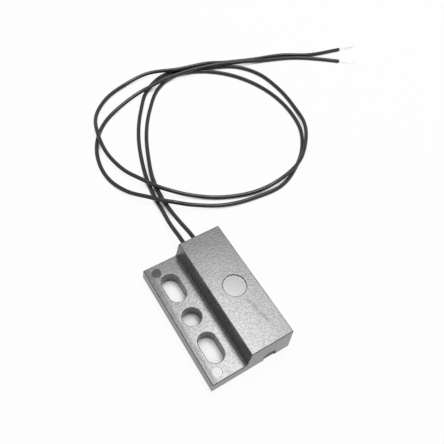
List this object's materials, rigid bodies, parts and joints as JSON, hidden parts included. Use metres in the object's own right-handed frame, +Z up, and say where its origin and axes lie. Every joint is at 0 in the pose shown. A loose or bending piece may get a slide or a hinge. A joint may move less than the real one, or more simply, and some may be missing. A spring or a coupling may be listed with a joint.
{
  "type": "flange-mount reed sensor",
  "caption": "Reed proximity sensor: a dark moulded block with a slotted mounting flange, a glass reed switch potted inside and thin insulated lead wires with stripped ends.",
  "frame": {"origin": "middle of the housing's base, on the surface that it is screwed to", "axes": "+Z up out of the base, +Y along the housing towards the end where the wires leave, +X from the flange to the block"},
  "size_m": [0.0932, 0.0849, 0.0075],
  "materials": {
    "housing_plastic": "fine-grained moulded plastic",
    "potting_resin": "smooth cast resin",
    "reed_glass": "clear, slightly green",
    "reed_alloy": "rolled nickel-iron",
    "solder": "satin solder",
    "wire_insulation": "satin black insulation",
    "tinned_copper": "tinned strands"
  },
  "bodies": {
    "sensor": {"housing": "housing_plastic", "potting": "potting_resin", "glass_capsule": "reed_glass", "near_lead": "reed_alloy", "far_lead": "reed_alloy", "near_solder": "solder", "far_solder": "solder", "left_wire": "wire_insulation", "right_wire": "wire_insulation", "left_wire_root": "tinned_copper", "right_wire_root": "tinned_copper", "left_wire_tip": "tinned_copper", "right_wire_tip": "tinned_copper"},
    "near_reed": {"near_blade": "reed_alloy"},
    "far_reed": {"far_blade": "reed_alloy"}
  },
  "joints": [
    {"name": "near_reed_flex", "type": "hinge", "parent": "sensor", "child": "near_reed", "pos_m": [0.0051, -0.0042, 0.00307], "axis": [1, 0, 0], "range_deg": [0, 0.4], "stiffness_Nm_per_rad": 0.09},
    {"name": "far_reed_flex", "type": "hinge", "parent": "sensor", "child": "far_reed", "pos_m": [0.0051, 0.0042, 0.00333], "axis": [1, 0, 0], "range_deg": [0, 0.4], "stiffness_Nm_per_rad": 0.01}
  ],
  "couplings": [
    {"joint": "far_reed_flex", "follows": "near_reed_flex", "ratio": 1}
  ]
}
